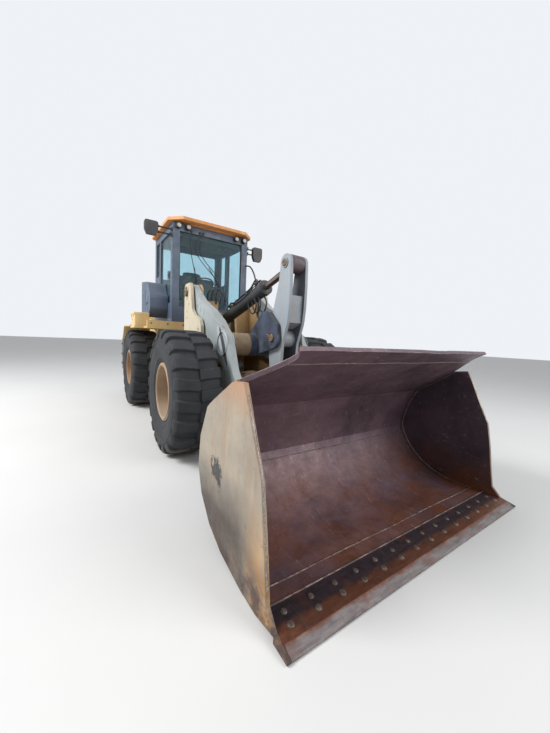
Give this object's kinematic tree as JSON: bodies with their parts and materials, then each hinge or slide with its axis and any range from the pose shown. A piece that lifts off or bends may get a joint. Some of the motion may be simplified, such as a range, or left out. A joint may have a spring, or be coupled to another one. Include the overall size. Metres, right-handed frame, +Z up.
{
  "type": "articulated wheel loader",
  "caption": "Articulated wheel loader with a lift frame, tilting bucket, enclosed cab, engine hood and large ribbed tyres.",
  "frame": {"origin": "on the ground, below the middle of the overall length and width", "axes": "+X to the bucket, +Y to the machine's left, +Z up"},
  "size_m": [7.34, 2.56, 3.405],
  "materials": {
    "frame_paint": "worn cream-yellow paint",
    "arm_paint": "worn pale grey-green paint",
    "bucket_steel": "scraped paint over rust-brown steel",
    "edge_steel": "rough worn steel",
    "cylinder_dark": "dark paint",
    "rod_chrome": "polished",
    "pin_steel": "greasy steel",
    "tyre_rubber": "matt",
    "rim_paint": "rust-stained yellow paint",
    "axle_paint": "painted casting",
    "cab_paint": "dark blue-grey paint",
    "roof_paint": "faded orange-yellow",
    "cab_glass": "tinted",
    "seat_fabric": "dark upholstery",
    "trim_plastic": "grained",
    "lamp_glass": "clear lens",
    "engine_iron": "dark casting",
    "grille_paint": "dark paint",
    "hood_paint": "cream-yellow paint"
  },
  "bodies": {
    "rear_frame": {"rear_frame": "frame_paint", "steer_base_pins": "pin_steel", "counterweight": "hood_paint", "engine_block": "engine_iron", "engine_hood": "hood_paint", "exhaust_stack": "pin_steel", "air_cleaner": "trim_plastic", "deck": "frame_paint", "rear_fenders": "hood_paint", "access_steps": "cylinder_dark", "rear_axle": "axle_paint", "cab_frame": "cab_paint", "cab_roof": "roof_paint", "windscreen": "cab_glass", "cab_glass": "cab_glass", "operator_seat": "seat_fabric", "steering_console": "trim_plastic", "mirrors": "trim_plastic", "work_lamps": "lamp_glass", "side_box": "trim_plastic", "tool_box": "frame_paint"},
    "front_frame": {"front_frame": "frame_paint", "frame_pins": "pin_steel", "front_axle": "axle_paint"},
    "lift_arms": {"lift_arms": "arm_paint", "crank_pin": "pin_steel"},
    "bellcrank": {"bellcrank": "arm_paint"},
    "tilt_link": {"tilt_link": "arm_paint"},
    "bucket": {"bucket_shell": "bucket_steel", "bucket_pins": "pin_steel", "cutting_edge": "edge_steel", "corner_guards": "edge_steel"},
    "lift_barrels": {"lift_barrels": "cylinder_dark"},
    "lift_rods": {"lift_rods": "rod_chrome"},
    "tilt_barrel": {"tilt_barrel": "cylinder_dark"},
    "tilt_rod": {"tilt_rod": "rod_chrome"},
    "steer_barrel_left": {"steer_barrel_left": "cylinder_dark"},
    "steer_rod_left": {"steer_rod_left": "rod_chrome"},
    "steer_barrel_right": {"steer_barrel_right": "cylinder_dark"},
    "steer_rod_right": {"steer_rod_right": "rod_chrome"},
    "cab_door": {"cab_door": "cab_paint", "door_glass": "cab_glass"},
    "grille_door": {"grille_door": "grille_paint"},
    "wheel_front_left": {"tyre_front_left": "tyre_rubber", "rim_front_left": "rim_paint"},
    "wheel_front_right": {"tyre_front_right": "tyre_rubber", "rim_front_right": "rim_paint"},
    "wheel_rear_left": {"tyre_rear_left": "tyre_rubber", "rim_rear_left": "rim_paint"},
    "wheel_rear_right": {"tyre_rear_right": "tyre_rubber", "rim_rear_right": "rim_paint"}
  },
  "joints": [
    {"name": "articulation", "type": "hinge", "parent": "rear_frame", "child": "front_frame", "pos_m": [-0.495, 0, 0.8], "axis": [0, 0, 1], "range_deg": [-40, 40]},
    {"name": "lift_arm", "type": "hinge", "parent": "front_frame", "child": "lift_arms", "pos_m": [0.05, 0, 2.05], "axis": [0, -1, 0], "range_deg": [0, 76]},
    {"name": "bucket_tilt", "type": "hinge", "parent": "lift_arms", "child": "bucket", "pos_m": [2.35, 0, 0.33], "axis": [0, 1, 0], "range_deg": [-42, 118]},
    {"name": "bellcrank_turn", "type": "hinge", "parent": "lift_arms", "child": "bellcrank", "pos_m": [1.7, 0, 1.44], "axis": [0, -1, 0], "range_deg": [-9.77, 27.46]},
    {"name": "link_swing", "type": "hinge", "parent": "bucket", "child": "tilt_link", "pos_m": [2.38, 0, 0.63], "axis": [0, 1, 0], "range_deg": [-81.78, 29.11]},
    {"name": "lift_barrel_swing", "type": "hinge", "parent": "front_frame", "child": "lift_barrels", "pos_m": [0.04, 0, 1.35], "axis": [0, -1, 0], "range_deg": [0, 65.91]},
    {"name": "lift_rod_stroke", "type": "slide", "parent": "lift_barrels", "child": "lift_rods", "axis": [0.9752, 0, -0.2213], "range_m": [0, 0.8182]},
    {"name": "tilt_barrel_swing", "type": "hinge", "parent": "front_frame", "child": "tilt_barrel", "pos_m": [0.03, 0, 1.73], "axis": [0, -1, 0], "range_deg": [0, 67.93]},
    {"name": "tilt_rod_stroke", "type": "slide", "parent": "tilt_barrel", "child": "tilt_rod", "axis": [0.9578, 0, 0.2873], "range_m": [-0.2819, 0.1003]},
    {"name": "steer_barrel_swing_left", "type": "hinge", "parent": "rear_frame", "child": "steer_barrel_left", "pos_m": [-1.245, 0.45, 0.81], "axis": [0, 0, 1], "range_deg": [-0.89, 0.89]},
    {"name": "steer_rod_stroke_left", "type": "slide", "parent": "steer_barrel_left", "child": "steer_rod_left", "axis": [0.9848, -0.1738, 0], "range_m": [-0.2049, 0.2049]},
    {"name": "steer_barrel_swing_right", "type": "hinge", "parent": "rear_frame", "child": "steer_barrel_right", "pos_m": [-1.245, -0.45, 0.81], "axis": [0, 0, 1], "range_deg": [-0.89, 0.89]},
    {"name": "steer_rod_stroke_right", "type": "slide", "parent": "steer_barrel_right", "child": "steer_rod_right", "axis": [0.9848, 0.1738, 0], "range_m": [-0.2049, 0.2049]},
    {"name": "cab_door_swing", "type": "hinge", "parent": "rear_frame", "child": "cab_door", "pos_m": [-1.547, 0.716, 2.4], "axis": [0, 0, 1], "range_deg": [0, 100]},
    {"name": "grille_door_swing", "type": "hinge", "parent": "rear_frame", "child": "grille_door", "pos_m": [-3.536, 0.602, 1.76], "axis": [0, 0, -1], "range_deg": [0, 100]},
    {"name": "wheel_spin_front_left", "type": "hinge", "parent": "front_frame", "child": "wheel_front_left", "pos_m": [0.93, 0.98, 0.745], "axis": [0, 1, 0], "continuous": true},
    {"name": "wheel_spin_rear_left", "type": "hinge", "parent": "rear_frame", "child": "wheel_rear_left", "pos_m": [-1.92, 0.98, 0.745], "axis": [0, 1, 0], "continuous": true},
    {"name": "wheel_spin_front_right", "type": "hinge", "parent": "front_frame", "child": "wheel_front_right", "pos_m": [0.93, -0.98, 0.745], "axis": [0, 1, 0], "continuous": true},
    {"name": "wheel_spin_rear_right", "type": "hinge", "parent": "rear_frame", "child": "wheel_rear_right", "pos_m": [-1.92, -0.98, 0.745], "axis": [0, 1, 0], "continuous": true}
  ],
  "couplings": [
    {"joint": "bellcrank_turn", "follows": "bucket_tilt", "ratio": 0.2304},
    {"joint": "link_swing", "follows": "bucket_tilt", "ratio": -0.6862},
    {"joint": "lift_barrel_swing", "follows": "lift_arm", "ratio": 0.8587},
    {"joint": "lift_rod_stroke", "follows": "lift_arm", "m_per_rad": 0.6107},
    {"joint": "tilt_barrel_swing", "follows": "lift_arm", "ratio": 0.885},
    {"joint": "tilt_rod_stroke", "follows": "bucket_tilt", "m_per_rad": -0.1355},
    {"joint": "steer_barrel_swing_left", "follows": "articulation", "ratio": 0.0221},
    {"joint": "steer_rod_stroke_left", "follows": "articulation", "m_per_rad": -0.2906},
    {"joint": "steer_barrel_swing_right", "follows": "articulation", "ratio": 0.0221},
    {"joint": "steer_rod_stroke_right", "follows": "articulation", "m_per_rad": 0.2906}
  ]
}
